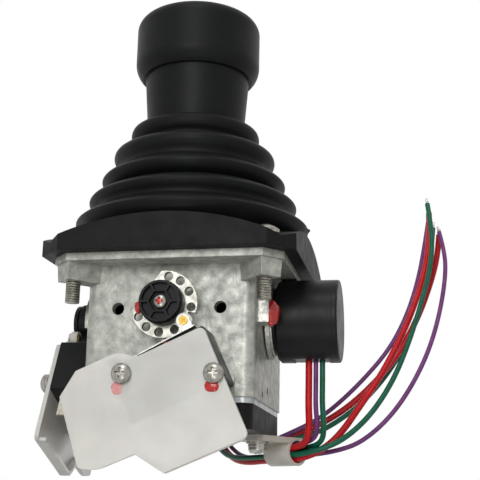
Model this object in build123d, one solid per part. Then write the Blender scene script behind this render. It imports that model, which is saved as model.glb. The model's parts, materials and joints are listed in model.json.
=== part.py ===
from build123d import *
from math import cos, radians, sin, tan
import os

# Frame: +Z runs up the lever towards its cap, the front switch faces -Y, the origin is the
# centre of the casting flange's top face. All sizes are millimetres.

# Gaps
run_gap = 0.05        # radial clearance of a shaft in its bush and of a pin in its eye
seat_gap = 0.1        # between flat faces that slide past each other
screw_gap = 0.05      # radial clearance of a screw in its hole
moving_gap = 0.3      # between separate moving bodies

# Driving sizes of the casting
axis_drop = 14.3      # both shaft axes lie this far below the flange's top face
body_w = 48.0         # square box of the casting
body_round = 3.0
body_wall = 2.8
wall_below = 4.605     # of the casting below the switches' screws
bolt_out = 3.0        # the four panel screws stand this far outside the box's walls
flange_edge = 5.5     # of the flange outside the panel screws' axes
flange_t = 2.2
flange_cut = 5.0      # corner chamfer of the flange
lug_root = 4.5        # each lug leaves the box's walls this far from its corner
lug_far = 5.2         # and ends this far outside its screw's axis
lug_taper = 4.0       # degrees
lug_depth = 7.1
boss_r = 6.3          # round boss outside each wall that carries a cam
boss_len = 3.3
panel_hole_r = 1.7    # two plain holes beside each cam
panel_hole_x = 14.5
pin_holes = [(-9.7, 2.2), (-1.2, 4.0)]   # small holes of a wall with a potentiometer: x, above the base
pin_hole_r = 0.9

# Boot frame and bellows
frame_out = 3.5       # of the frame outside the flange
frame_cut = 7.0
frame_edge_t = 3.0
frame_wall = 2.4
frame_rise = 10.0     # height of the arch at the middle of each side
frame_arch_r = 80.0   # radius of the arches
frame_pad = 5.0       # height of the seats under the panel screws' heads
frame_collar = 2.5    # the bellows' round seat ends this far inside the frame's edge
frame_skirt = 8.5     # of the frame between its edge and its round mouth
ring_in = [1.0, 4.6, 8.0, 11.3, 16.4]    # each ring lies this far inside the frame's edge
ring_z = [14.6, 21.4, 28.4, 36.0, 43.4]
fold_depth = 4.6      # how far each valley lies inside the ring above it
fold_round = 1.7
boot_wall = 1.2
boot_collar_r = 9.6
boot_top_z = 46.0

# Screws: radius of the shank, radius and height of the pan head
m4_r, m4_head_r, m4_head_h = 2.0, 4.0, 2.7
m3_r, m3_head_r, m3_head_h = 1.5, 2.6, 2.1
m4_neck_r = 1.9       # plain neck of the panel screws inside frame and lug
hub_head_r, hub_head_h = 1.9, 1.5
clamp_head_r, clamp_head_h = 2.5, 1.9
screw_bite = 1.0      # a screw in the casting's wall ends this far inside it
cross_w = 0.75        # width of a slot in a cross recess
panel_screw_end = 13.0

# Base
plate_t = 1.5
plate_in = 0.5        # the base's sides lie this far inside the casting's
gate_half = 12.6
base_depth = 6.9
base_wall = 2.0
base_floor = 1.6
base_post_r = 3.6
base_screw_in = 2.6   # the base's screws stand this far inside the walls

# Shafts and cams
shaft_r = 3.0
bush_r = 4.2
bush_flange_r = 5.4
bush_flange_t = 0.5
cam_t = 1.5
cam_r = 9.3
cam_hole_r = 1.25
cam_hole_circle = 7.7
cam_hole_turns = [29, 62, 91, 118]
cam_notch_turn = 22.0
cam_notch_floor = 6.9
cam_flat = 6.2        # the flat opposite the notch, from the axis
hub_rear_r = 6.0
hub_rear_len = 3.0
hub_groove_r = 5.0
hub_groove_len = 0.6
hub_front_r = 5.65
hub_front_len = 1.1
hub_pocket_depth = 1.0
hub_hex_r = 2.9
cam_lean = -36.0      # direction of the cam's notch, degrees above the outward right

# Yokes and lever
ring_half_x = 11.0
ring_gap = 2.0        # between the gimbal ring and the bail around it
ring_wall = 2.5
ring_half_h = 4.5
bail_gap = 0.475      # between the bail and the centring spring beside it
bail_t = 1.5
bail_over = 7.3       # the slotted bar lies this far above the casting's lower edge
bail_bar_t = 2.0
bail_half_w = 6.0
slot_half_w = 3.2
slot_half_len = 10.6
lever_r = 4.0
lever_hub_r = 6.0
tail_r = 2.5
tail_under = 4.1      # the tail's tip lies this far below the casting's lower edge
cross_pin_r = 2.0

# Handle and cap
handle_bottom_z = 46.0
handle_bottom_r = 15.0
handle_top_r = 16.3
handle_h = 17.0
cap_h = 20.0
cap_r = 19.5
cap_crown = 0.4       # of the cap above the nut's room, without its dome
cap_nut_room = 2.6    # above the nut
cap_dome = 0.7
cap_round_low = 3.4
cap_round_top = 4.0
spigot_r = 9.3
spigot_len = 6.0
cap_socket_r = 12.0
lever_nut_r = 6.5
lever_nut_t = 4.0

# Centring springs
wire_r = 0.5
coil_r = 4.2
coil_pitch = 1.15
coil_turns = 2.5
leg_reach = 13.0
tongue_near = (6.2, 8.6)    # tongue of the yoke, from and to, below the axis
tongue_far = (10.2, 12.6)   # tongue of the casting

# Switches, drawn in their own frame: u along the body, v towards the roller, origin at hole 1
switch_lean = 24.9
switch_u = (-2.8, 24.4)
switch_v = (-13.2, 2.7)
switch_t = 10.3
switch_boss_h = 0.7
hole_2 = (22.2, -10.3)
cover_t = 1.2
cover_lip = 1.8
cover_u = (-19.9, 24.4)
cover_v = (-28.6, 6.1)
# Corners of the cover's upper edge, from its left end and below its top, and of its lower edge,
# from its left end and above its foot.
cover_top = [(8.6, 0), (19.3, 0.15), (21.8, 1.0), (23.9, 2.9), (25.7, 3.6)]
cover_foot = [(20.3, 0.8), (15.2, 8.2), (6.9, 8.6), (3.1, 9.4), (0, 11.4)]
cover_left = (2.1, 4.5)
cover_step = 3.8      # the upper edge's right end lies this far below its top
cover_round = 1.5     # of the two corners on the right
cover_slant = 0.4
cover_band = 1.0      # breadth of the edge that turns back
arm_hinge = (-1.4, 3.95)
arm_knuckle_r = 1.1
arm_pin_r = 0.6
arm_t = 0.4
arm_rise = 2.2        # slope of the free arm, degrees
arm_w = 3.0
arm_under = 0.85      # the strip's middle plane lies this far below the hinge
arm_front = 10.4      # the ear's outer face, out from the casting wall
ear_t = 0.5
ear_half_w = 1.75
roller_at = (19.95, 6.4)
roller_lean = -38.6   # direction from the shaft's axis to the roller's, in degrees
roller_gap = 0.6      # the free roller stands this far off the hub
roller_r = 2.2
roller_w = 2.0
roller_pin_r = 0.8
rivet_head_t = 0.2
plunger_u = 13.0
plunger_r = 1.0
blade_u = [0.4, 11.0, 21.6]
blade_len = 7.0
blade_w = 4.8
blade_t = 0.8

# Potentiometers, along their own axis out of the casting wall
pot_r = 12.0
pot_from = 3.2
pot_len = 16.2
pot_cap_t = 1.6
pot_ring_r = 11.0
pot_ring_t = 1.2
pot_neck_r = 9.4
pot_flat = 11.4       # flat below the body where the leads come out
clamp_at = 15.6
clamp_w = 6.6
clamp_t = 3.0

# Cable clip
clip_screw_in = 2.7   # the clip's screw stands this far inside the base's side
clip_screw_y = 1.5
clip_turn = -35.0
clip_reach = 11.5
clip_w = 10.0
clip_wall = 0.8
clip_loop_r = 3.2
washer_t = 0.6
spring_washer_r = 2.7
spring_washer_t = 0.9
clip_bite = 5.0       # of the clip's screw in the base

# Leads: diameters, and the points of each route from its potentiometer to its free end
red_d, purple_d, green_d = 2.0, 1.4, 1.6
lead_routes = {
    "right_red_lead": (red_d, [
        (35.8, 0, -25.7), (35.8, 0, -32), (35.7, 0, -38.5), (35.9, 0.4, -43.6),
        (35.1, 2.6, -48.5), (31.3, 6.1, -50), (25.6, 10.1, -49.9), (17.6, 15.7, -50),
        (14.9, 22.7, -49.9), (16.5, 30, -48.6), (22, 35.2, -46.3), (34.8, 36, -41),
        (44, 36.7, -35.2), (52.6, 37.4, -27.2), (60.4, 38.5, -17.5), (66.3, 39.3, -6.3),
        (70.5, 40.5, 4.8), (73.3, 42, 15.2), (73.9, 43, 22.3),
    ]),
    "right_purple_lead": (purple_d, [
        (37.8, 0, -25.7), (37.8, 0, -32), (37.7, 0, -38.5), (38.1, 0.5, -43.4),
        (37.5, 3.5, -47.4), (32.3, 7.5, -49), (26.6, 11.5, -48.9), (19, 16.8, -49),
        (16.7, 22.8, -48.9), (18.1, 29.1, -47.6), (22.8, 33.6, -45), (33.8, 34, -39.9),
        (40.7, 35, -34.5), (48.6, 36, -26.8), (56.9, 37.5, -17), (62.5, 39, -6.3), (66.3, 41, 5.3),
        (68.8, 43, 17.3), (70.6, 45, 28.9),
    ]),
    "right_green_lead": (green_d, [
        (39.7, 0, -25.7), (39.7, 0, -32), (39.6, 0, -38.5), (40.1, 0.7, -44.1), (39.1, 4, -48.8),
        (33.3, 8.9, -50), (27.6, 12.9, -49.9), (20.4, 17.9, -49.9), (18.5, 22.9, -49.7),
        (19.6, 28.3, -48.4), (23.6, 32, -46.6), (33.8, 33.8, -43.8), (40, 35, -40.4),
        (48, 38.2, -34.1), (56.6, 41, -23.9), (63.5, 43.4, -11.8), (68.3, 46, 0.9), (71, 48, 14.3),
        (72, 49, 26.5),
    ]),
    "back_green_lead": (green_d, [
        (0, 35, -25.7), (0, 35, -32), (0.2, 34.8, -38.5), (0.7, 33.3, -44.3), (4, 29.3, -49.6),
        (9.6, 23, -52.4), (21.1, 13.2, -52.3), (27.2, 8.9, -52), (32.6, 5.2, -51.9),
        (41.4, 3.8, -49.7), (47.4, 7, -45.7), (53.6, 10, -39), (59.4, 13.5, -29.3),
        (63.9, 18, -17.6), (67.6, 23, -5.3), (70.7, 28, 6.9), (71.9, 32, 19.4), (70.4, 35.5, 31),
    ]),
    "back_red_lead": (red_d, [
        (0, 37, -25.7), (0, 37, -32), (0.4, 36.8, -38.5), (2, 35.2, -45), (6.2, 30.6, -50.8),
        (12.2, 23.6, -53.6), (22.5, 14.4, -53.1), (28.2, 10.3, -53), (33.5, 6.6, -52.8),
        (40, 6.3, -49.9), (44.7, 8.6, -44.9), (49.3, 12.5, -37.4), (55.2, 15.5, -28.5),
        (60.5, 19, -18), (65.2, 24, -6.4), (68.7, 29.5, 5.6), (70.7, 35, 17.5), (70.8, 40, 29),
    ]),
    "back_purple_lead": (purple_d, [
        (0, 39, -25.7), (0, 39, -32), (0.6, 38.7, -38.5), (3, 37.6, -44.6), (8, 32.9, -49.8),
        (13.6, 25.4, -52.2), (23.5, 15.8, -52.2), (29.2, 11.8, -52), (34.5, 8, -52),
        (43, 10, -50.5), (49.8, 12.5, -47.8), (57.6, 14.5, -40.9), (64.1, 18, -31.5),
        (69.7, 22.5, -19.7), (73.4, 27.5, -6.8), (75.6, 32.5, 6.5), (75.4, 35.5, 15.2),
        (73.9, 38, 22),
    ]),
}

axis_z = -axis_drop
roller_out = hub_rear_r + roller_gap + roller_r


def turned(u, v, lean):
    """The vector u, v turned by this many degrees."""
    a = radians(lean)
    return u * cos(a) - v * sin(a), u * sin(a) + v * cos(a)


def switch_origin():
    """Hole 1 on the front wall, so placed that the roller stands in front of the cam's notch."""
    out = turned(roller_out, 0, roller_lean)
    along = turned(*roller_at, switch_lean)
    return out[0] - along[0], axis_z + out[1] - along[1]


switch_at = switch_origin()
body_depth = wall_below - switch_at[1]
base_top_z = -body_depth - plate_t
wall = body_w / 2
inner = wall - body_wall
bolt_pitch = body_w + 2 * bolt_out       # square pattern of the four panel screws
flange_w = bolt_pitch + 2 * flange_edge
frame_w = flange_w + 2 * frame_out
frame_mouth_r = frame_w / 2 - frame_skirt
ring_r = [frame_w / 2 - inset for inset in ring_in]
plate_w = body_w - 2 * plate_in
base_screw_at = inner - base_screw_in
clip_screw_at = (plate_w / 2 - clip_screw_in, clip_screw_y)
bail_reach = body_depth - axis_drop - bail_over
tail_end = body_depth - axis_drop + tail_under
cap_bottom_z = handle_bottom_z + handle_h
cap_top_z = cap_bottom_z + cap_h
cap_socket_len = cap_h - cap_crown - cap_nut_room - lever_nut_t
tongue_half = coil_r - wire_r - seat_gap
spring_end = inner - 0.35
spring_start = spring_end - coil_turns * coil_pitch - 2 * wire_r
bail_inner = spring_start - bail_gap - bail_t
ring_half_y = bail_inner - ring_gap
boss_face = wall + boss_len
cam_back = boss_face + bush_flange_t + seat_gap
hub_back = cam_back + cam_t + seat_gap
switch_back = wall + switch_boss_h
switch_face = switch_back + switch_t
base_z = base_top_z - base_depth
boot_foot_z = frame_rise - 1.0


def out_front(depth):
    """The plane parallel to the front wall, at this distance from the centre, seen from outside."""
    return Plane((0, -depth, 0), x_dir=(1, 0, 0), z_dir=(0, -1, 0))


def to_left(shape):
    """The same piece on the left side: a quarter turn about the lever's axis."""
    return Rot(0, 0, -90) * shape


def to_right(shape):
    return Rot(0, 0, 90) * shape


def to_back(shape):
    return Rot(0, 0, 180) * shape


def rod(radius, start, end):
    """A round bar between two points."""
    way = Vector(*end) - Vector(*start)
    return extrude(Plane(start, z_dir=way) * Circle(radius), way.length)


def front_rod(radius, x, z, near, far):
    """A round bar along Y, between two distances in front of the centre."""
    return rod(radius, (x, -near, z), (x, -far, z))


def tube(radius, bore, start, end):
    return rod(radius, start, end) - rod(bore, start, end)


def rounded_box(width, depth, corner, top, height):
    """A square prism about the lever's axis, hanging down from the height top."""
    return extrude(Plane.XY.offset(top) * RectangleRounded(width, depth, corner), -height)


def cut_square(width, cut):
    """A square with its four corners cut off."""
    half = width / 2
    near = half - cut
    return make_face(Polyline(
        (half, near), (near, half), (-near, half), (-half, near),
        (-half, -near), (-near, -half), (near, -half), (half, -near), close=True,
    ))


def dome_arc(radius, low, high):
    """A profile's arc from its rim to the crown on the axis, part of a sphere about the axis."""
    rise = high - low
    sphere = (radius ** 2 + rise ** 2) / (2 * rise)
    half = radius / 2
    return ThreePointArc((radius, low), (half, high - sphere + (sphere ** 2 - half ** 2) ** 0.5), (0, high))


def pan_screw(radius, head_r, head_h, length):
    """A pan-head screw with a cross recess: head above the origin, shank down the axis."""
    outline = make_face([
        Polyline((0, -length), (radius, -length), (radius, 0), (head_r, 0), (head_r, head_h * 0.45)),
        dome_arc(head_r, head_h * 0.45, head_h),
        Line((0, head_h), (0, -length)),
    ])
    body = revolve(Plane.XZ * outline, Axis.Z)
    reach = head_r * 1.05
    deep = head_h * 0.6
    recess = Pos(0, 0, head_h) * (Box(reach, cross_w, deep * 2) + Box(cross_w, reach, deep * 2))
    return body - recess


def place(shape, at, out):
    """Moves a screw or washer so that its axis points along out from the point at."""
    return Plane(at, z_dir=out) * shape


def washer(outer, bore, thick):
    return extrude(Circle(outer) - Circle(bore), thick)


def switch_point(u, v):
    """A point of the switch's own frame as x and z of the front wall."""
    x, z = turned(u, v, switch_lean)
    return switch_at[0] + x, switch_at[1] + z


def switch_plane(depth):
    """The switch's own frame on a plane parallel to the front wall."""
    lean = radians(switch_lean)
    return Plane(
        (switch_at[0], -depth, switch_at[1]), x_dir=(cos(lean), 0, sin(lean)), z_dir=(0, -1, 0)
    )


def make_front_side():
    """What the casting carries on a wall with a cam: bosses, bores and tapped holes."""
    added = front_rod(boss_r, 0, axis_z, inner, boss_face)
    holes = front_rod(bush_r, 0, axis_z, inner - 1, boss_face + 1)
    for u, v in ((0, 0), hole_2):
        x, z = switch_point(u, v)
        added += front_rod(m3_r + 1.6, x, z, inner, switch_back)
        holes += front_rod(m3_r + screw_gap, x, z, inner - 1, switch_back + 1)
    for x in (-panel_hole_x, panel_hole_x):
        holes += front_rod(panel_hole_r, x, axis_z, inner - 1, wall + 1)
    return added, holes


def make_pot_side():
    """What the casting carries on a wall with a potentiometer, drawn on the front wall."""
    holes = front_rod(bush_r, 0, axis_z, inner - 1, wall + 1)
    for x in (-clamp_at, clamp_at):
        holes += front_rod(m3_r + screw_gap, x, axis_z, inner - 1, wall + 1)
    for x, up in pin_holes:
        holes += front_rod(pin_hole_r, x, up - body_depth, inner - 1, wall + 1)
    return holes


def make_spring_tongue(near, far, start, end, half_w):
    """A tongue below the front shaft, from and to these distances out from the centre."""
    return Pos(0, -(start + end) / 2, axis_z - (near + far) / 2) * Box(2 * half_w, end - start, far - near)


def make_lug():
    """A tapering web from the box's corner to a panel screw, under the flange."""
    root = wall - lug_root
    near = bolt_pitch / 2
    far = near + lug_far
    plan = make_face(Polyline(
        (root, inner), (root, wall), (near, far), (far, near), (wall, root), (inner, root), close=True,
    ))
    return extrude(plan, -lug_depth, taper=lug_taper)


def make_housing():
    half = bolt_pitch / 2
    shell = rounded_box(body_w, body_w, body_round, 0, body_depth)
    shell += extrude(cut_square(flange_w, flange_cut), -flange_t)
    for turn in (0, 90, 180, 270):
        shell += Rot(0, 0, turn) * make_lug()
    shell -= rounded_box(2 * inner, 2 * inner, 2.0, 1, body_depth + 2)
    corner = inner - base_post_r / 2
    for x in (-corner, corner):
        for y in (-corner, corner):
            shell += Pos(x, y, -body_depth) * extrude(Rectangle(base_post_r, base_post_r), 9)
    for x in (-half, half):
        for y in (-half, half):
            shell -= rod(m4_r + screw_gap, (x, y, 1), (x, y, -lug_depth - 1))
    for x in (-base_screw_at, base_screw_at):
        for y in (-base_screw_at, base_screw_at):
            shell -= rod(m3_r + screw_gap, (x, y, -body_depth - 1), (x, y, -body_depth + 7))
    bosses, bores = make_front_side()
    shell += bosses + to_left(bosses)
    shell -= bores + to_left(bores)
    pot_holes = make_pot_side()
    shell -= to_right(pot_holes) + to_back(pot_holes)
    tongue = make_spring_tongue(*tongue_far, spring_start, inner + 0.5, tongue_half)
    return shell + tongue + to_right(tongue)


def make_boot_frame():
    """A square moulding with four arched sides and a round seat for the bellows, hollow inside."""
    far = frame_w
    top = frame_rise

    def vaults(shift):
        """What lies below two crossing vaults, one along each pair of sides."""
        radius = frame_arch_r - shift
        low = top - frame_arch_r
        return rod(radius, (-far, 0, low), (far, 0, low)) + rod(radius, (0, -far, low), (0, far, low))

    shell = extrude(cut_square(frame_w, frame_cut), top + 1) & vaults(0)
    shell += rod(frame_w / 2 - frame_collar, (0, 0, 0), (0, 0, boot_foot_z))
    hollow = cut_square(frame_w - 2 * frame_wall, frame_cut)
    shell -= extrude(Plane.XY.offset(frame_edge_t) * hollow, top) & vaults(frame_wall)
    shell -= rod(frame_mouth_r, (0, 0, -1), (0, 0, top + 2))
    shell -= rod(ring_r[0] + moving_gap, (0, 0, boot_foot_z), (0, 0, top + 1))
    half = bolt_pitch / 2
    seat_r = m4_head_r + 0.4
    for x in (-half, half):
        for y in (-half, half):
            shell += rod(seat_r, (x, y, 0), (x, y, frame_pad))
            shell -= rod(m4_r + screw_gap, (x, y, -1), (x, y, top))
            shell -= rod(seat_r, (x, y, frame_pad), (x, y, top + 1))
    return shell


def boot_points(inset):
    """The bellows' profile, from its foot to its collar, moved inwards by the inset."""
    points = [(ring_r[0] - 3.0 - inset, boot_foot_z + inset)]
    for i, (r, z) in enumerate(zip(ring_r, ring_z)):
        points.append((r - inset, z))
        if i + 1 < len(ring_r):
            valley_z = (z + ring_z[i + 1]) / 2 + 0.6
            points.append((ring_r[i + 1] - fold_depth / 2 - inset, valley_z))
    points.append((boot_collar_r + boot_wall - inset, boot_top_z - 1.2))
    return points


def make_boot():
    """Five folds of rubber, one wall thick, with a flat foot and a collar on the handle's spigot."""
    outside = boot_points(0)
    inside = boot_points(boot_wall)
    foot_r = frame_mouth_r + 0.4
    foot_top = boot_foot_z + boot_wall
    line = FilletPolyline(*outside, radius=fold_round)
    back = FilletPolyline(*inside, radius=fold_round)
    top = outside[-1]
    low = inside[-1]
    collar_low = low[1] - 2.0
    profile = make_face([
        line,
        Line(line @ 1, (boot_collar_r, top[1])),
        Line((boot_collar_r, top[1]), (boot_collar_r, collar_low)),
        Line((boot_collar_r, collar_low), (low[0] + 0.6, collar_low)),
        Line((low[0] + 0.6, collar_low), back @ 1),
        back,
        Line(back @ 0, (foot_r, foot_top)),
        Line((foot_r, foot_top), (foot_r, boot_foot_z)),
        Line((foot_r, boot_foot_z), line @ 0),
    ])
    return revolve(Plane.XZ * profile, Axis.Z)


def make_corner_screws():
    """The panel screws: a plain neck through frame and lug, the thread below them."""
    half = bolt_pitch / 2
    screw = pan_screw(m4_neck_r, m4_head_r, m4_head_h, frame_pad + lug_depth)
    screw = Pos(0, 0, frame_pad) * screw
    screw += rod(m4_r, (0, 0, -lug_depth), (0, 0, -panel_screw_end))
    return [Pos(x, y, 0) * screw for x in (-half, half) for y in (-half, half)]


def make_gate_plate():
    plate = rounded_box(plate_w, plate_w, body_round, -body_depth, plate_t)
    plate -= rounded_box(2 * gate_half, 2 * gate_half, 2.0, -body_depth + 1, plate_t + 2)
    for x in (-base_screw_at, base_screw_at):
        for y in (-base_screw_at, base_screw_at):
            plate -= rod(m3_r + screw_gap, (x, y, base_top_z - 1), (x, y, -body_depth + 1))
    return plate


def make_bottom_cover():
    cover = rounded_box(plate_w, plate_w, body_round, base_top_z, base_depth)
    open_w = plate_w - 2 * base_wall
    cover -= rounded_box(open_w, open_w, 2.0, base_top_z + 1, base_depth - base_floor + 1)
    for x in (-base_screw_at, base_screw_at):
        for y in (-base_screw_at, base_screw_at):
            cover += rod(base_post_r, (x, y, base_z + 0.5), (x, y, base_top_z))
    for x in (-base_screw_at, base_screw_at):
        for y in (-base_screw_at, base_screw_at):
            cover -= rod(m3_r + screw_gap, (x, y, base_z - 1), (x, y, base_top_z + 1))
            cover -= rod(m3_head_r + 0.3, (x, y, base_z - 1), (x, y, base_z + m3_head_h))
    x, y = clip_screw_at
    boss = rod(base_post_r, (x, y, base_z + 0.5), (x, y, base_top_z))
    cover += boss & rounded_box(plate_w, plate_w, body_round, base_top_z, base_depth)
    return cover - rod(m3_r + screw_gap, (x, y, base_z - 1), (x, y, base_z + clip_bite + 0.5))


def make_bottom_screws():
    screw = pan_screw(m3_r, m3_head_r, m3_head_h, base_depth - m3_head_h + plate_t + 6)
    spots = [(x, y) for x in (-base_screw_at, base_screw_at) for y in (-base_screw_at, base_screw_at)]
    return [place(screw, (x, y, base_z + m3_head_h), (0, 0, -1)) for x, y in spots]


def make_bush(outer_end):
    """A flanged bush in the front wall; its flange lies outside."""
    sleeve = tube(bush_r, shaft_r + run_gap, (0, -inner, axis_z), (0, -outer_end, axis_z))
    flange = tube(
        bush_flange_r, shaft_r + run_gap, (0, -outer_end, axis_z), (0, -outer_end - bush_flange_t, axis_z)
    )
    return sleeve + flange


def make_shaft_bushes():
    cam_bush = make_bush(boss_face)
    pot_bush = make_bush(wall)
    return [cam_bush, to_left(cam_bush), to_right(pot_bush), to_back(pot_bush)]


def make_stub_shaft(start, end, screw_bore):
    """A round shaft through the front wall, tapped at its outer end where a hub sits on it."""
    shaft = front_rod(shaft_r, 0, axis_z, start, end)
    if screw_bore:
        shaft -= front_rod(m3_r + screw_gap, 0, axis_z, end - 7, end + 1)
    return shaft


def make_cam():
    """A plate with a ring of holes, a notch for the roller and a flat cut on its upper left."""
    plate = Circle(cam_r)
    lean = radians(cam_lean)
    for turn in cam_hole_turns:
        for side in (-1, 1):
            at = lean + side * radians(turn)
            plate -= Pos(cam_hole_circle * cos(at), cam_hole_circle * sin(at)) * Circle(cam_hole_r)
    half = radians(cam_notch_turn)
    far = cam_r * 1.3
    wedge = make_face(Polyline(
        (cam_notch_floor, -cam_notch_floor * tan(half) * 0.8), (far, -far * tan(half)),
        (far, far * tan(half)), (cam_notch_floor, cam_notch_floor * tan(half) * 0.8), close=True,
    ))
    plate -= Rot(0, 0, cam_lean) * wedge
    flat = Pos(-cam_flat - cam_r, 0) * Rectangle(2 * cam_r, 3 * cam_r)
    plate -= Rot(0, 0, cam_lean) * flat
    plate -= Circle(shaft_r)
    return extrude(Plane((0, -cam_back, axis_z), x_dir=(1, 0, 0), z_dir=(0, -1, 0)) * plate, cam_t)


def make_hub():
    """A moulded hub: a rim, a groove and a front flange with six pockets around a hexagonal recess."""
    groove_at = hub_back + hub_rear_len
    flange_at = groove_at + hub_groove_len
    face = flange_at + hub_front_len
    hub = front_rod(hub_rear_r, 0, axis_z, hub_back, groove_at)
    hub += front_rod(hub_groove_r, 0, axis_z, groove_at, flange_at)
    hub += front_rod(hub_front_r, 0, axis_z, flange_at, face)
    hub -= front_rod(shaft_r, 0, axis_z, hub_back - 1, groove_at)
    hub -= front_rod(m3_r + screw_gap, 0, axis_z, hub_back - 1, face + 1)
    front = Plane((0, -face, axis_z), x_dir=(1, 0, 0), z_dir=(0, -1, 0))
    ring = Circle(hub_front_r - 0.7) - RegularPolygon(hub_hex_r + 0.6, 6)
    spokes = Rectangle(2 * hub_front_r, 0.7)
    for turn in (60, 120):
        spokes += Rot(0, 0, turn) * Rectangle(2 * hub_front_r, 0.7)
    hub -= extrude(front * (ring - spokes), -hub_pocket_depth)
    hub -= extrude(front * RegularPolygon(hub_hex_r, 6), -1.3)
    return hub


hub_face = hub_back + hub_rear_len + hub_groove_len + hub_front_len
hub_seat = hub_face - 1.3


def make_hub_screw():
    screw = pan_screw(m3_r, hub_head_r, hub_head_h, 6.5)
    return place(screw, (0, -hub_seat, axis_z), (0, -1, 0))


def make_gimbal_ring():
    """A rectangular ring that turns on the side shafts; the lever's cross pin runs in its eyes."""
    outer = Box(2 * ring_half_x, 2 * ring_half_y, 2 * ring_half_h)
    outer = fillet(outer.edges().filter_by(Axis.Z), 2.0)
    hole = Box(2 * (ring_half_x - ring_wall), 2 * (ring_half_y - ring_wall), 3 * ring_half_h)
    ring = Pos(0, 0, axis_z) * (outer - hole)
    tongue = make_spring_tongue(*tongue_near, spring_start, spring_end, tongue_half)
    low = tongue_near[1]
    stem = Pos(0, -(ring_half_x - ring_wall / 2), axis_z - low / 2) * Box(2 * tongue_half, ring_wall, low)
    arm = make_spring_tongue(*tongue_near, ring_half_x - ring_wall, spring_start, tongue_half)
    ring += to_right(tongue + arm + stem)
    ring -= rod(shaft_r, (-wall, 0, axis_z), (wall, 0, axis_z))
    ring -= rod(cross_pin_r + run_gap, (0, -wall, axis_z), (0, wall, axis_z))
    return ring


def make_side_yoke():
    """A bail that turns on the front and back shafts; the lever's tail runs in its long slot."""
    foot = axis_z - bail_reach - bail_bar_t
    plate = make_face([
        Polyline((-bail_half_w, axis_z), (-bail_half_w, foot), (bail_half_w, foot), (bail_half_w, axis_z)),
        ThreePointArc((bail_half_w, axis_z), (0, axis_z + bail_half_w), (-bail_half_w, axis_z)),
    ])
    cheek = extrude(out_front(bail_inner) * plate, bail_t)
    low = axis_z - bail_reach
    bar = Pos(0, 0, low - bail_bar_t / 2) * Box(2 * bail_half_w, 2 * bail_inner, bail_bar_t)
    slot = Rot(0, 0, 90) * SlotOverall(2 * slot_half_len, 2 * slot_half_w)
    slot = extrude(Plane.XY.offset(low + 1) * slot, -9)
    cheek -= front_rod(shaft_r, 0, axis_z, bail_inner - 1, bail_inner + bail_t + 1)
    tongue = make_spring_tongue(*tongue_near, bail_inner + bail_t, spring_end, tongue_half)
    return cheek + to_back(cheek) + (bar - slot) + to_back(tongue)


def make_spring():
    """A torsion spring on the front shaft, its two legs beside the tongues of yoke and casting."""
    start = spring_start + wire_r
    coil_plane = Plane((0, -start, axis_z), x_dir=(-1, 0, 0), z_dir=(0, -1, 0))
    helix = coil_plane * Helix(coil_pitch, coil_turns * coil_pitch, coil_r, lefthand=True)
    coil = sweep(Plane(helix @ 0, z_dir=helix % 0) * Circle(wire_r), path=helix, is_frenet=True)
    low = axis_z - leg_reach
    legs = [rod(wire_r, tuple(tip), (tip.X, tip.Y, low)) for tip in (helix @ 0, helix @ 1)]
    return [coil] + legs


def make_lever_shaft():
    """Shaft, hub and tail in one turned piece, with the cross pin's bore through the hub."""
    hub_half = ring_half_y - ring_wall - seat_gap * 2
    shaft = rod(lever_r, (0, 0, axis_z), (0, 0, cap_bottom_z + cap_socket_len + lever_nut_t + 2))
    shaft += rod(tail_r, (0, 0, axis_z), (0, 0, axis_z - tail_end))
    shaft += rod(lever_hub_r, (0, -hub_half, axis_z), (0, hub_half, axis_z))
    return shaft - rod(cross_pin_r, (0, -wall, axis_z), (0, wall, axis_z))


def make_handle():
    """A tapered grip on the shaft: spigot below for the bellows, spigot above inside the cap."""
    low = handle_bottom_z - spigot_len
    profile = make_face(Polyline(
        (lever_r, low), (spigot_r, low), (spigot_r, handle_bottom_z), (handle_bottom_r, handle_bottom_z),
        (handle_top_r, cap_bottom_z), (cap_socket_r, cap_bottom_z),
        (cap_socket_r, cap_bottom_z + cap_socket_len), (lever_r, cap_bottom_z + cap_socket_len), close=True,
    ))
    return revolve(Plane.XZ * profile, Axis.Z)


def make_knob_cap():
    """A round cap with a soft lower rim and a slightly domed top, hollow over spigot and nut."""
    room_r = lever_nut_r + 1.2
    room_z = cap_top_z - cap_crown
    socket_z = cap_bottom_z + cap_socket_len
    outline = make_face([
        Line((handle_top_r - 0.2, cap_bottom_z), (cap_r - cap_round_low * 0.7, cap_bottom_z)),
        ThreePointArc(
            (cap_r - cap_round_low * 0.7, cap_bottom_z),
            (cap_r - 0.7, cap_bottom_z + cap_round_low * 0.62),
            (cap_r, cap_bottom_z + cap_round_low * 1.5),
        ),
        Line((cap_r, cap_bottom_z + cap_round_low * 1.5), (cap_r, cap_top_z - cap_round_top)),
        ThreePointArc(
            (cap_r, cap_top_z - cap_round_top),
            (cap_r - cap_round_top * 0.29, cap_top_z - cap_round_top * 0.29),
            (cap_r - cap_round_top, cap_top_z),
        ),
        dome_arc(cap_r - cap_round_top, cap_top_z, cap_top_z + cap_dome),
        Polyline(
            (0, cap_top_z + cap_dome), (0, room_z), (room_r, room_z), (room_r, socket_z),
            (cap_socket_r, socket_z), (cap_socket_r, cap_bottom_z), (handle_top_r - 0.2, cap_bottom_z),
        ),
    ])
    return revolve(Plane.XZ * outline, Axis.Z)


def make_lever_nut():
    low = cap_bottom_z + cap_socket_len
    nut = extrude(Plane.XY.offset(low) * RegularPolygon(lever_nut_r, 6), lever_nut_t)
    return nut - rod(lever_r, (0, 0, low - 1), (0, 0, low + lever_nut_t + 1))


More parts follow.
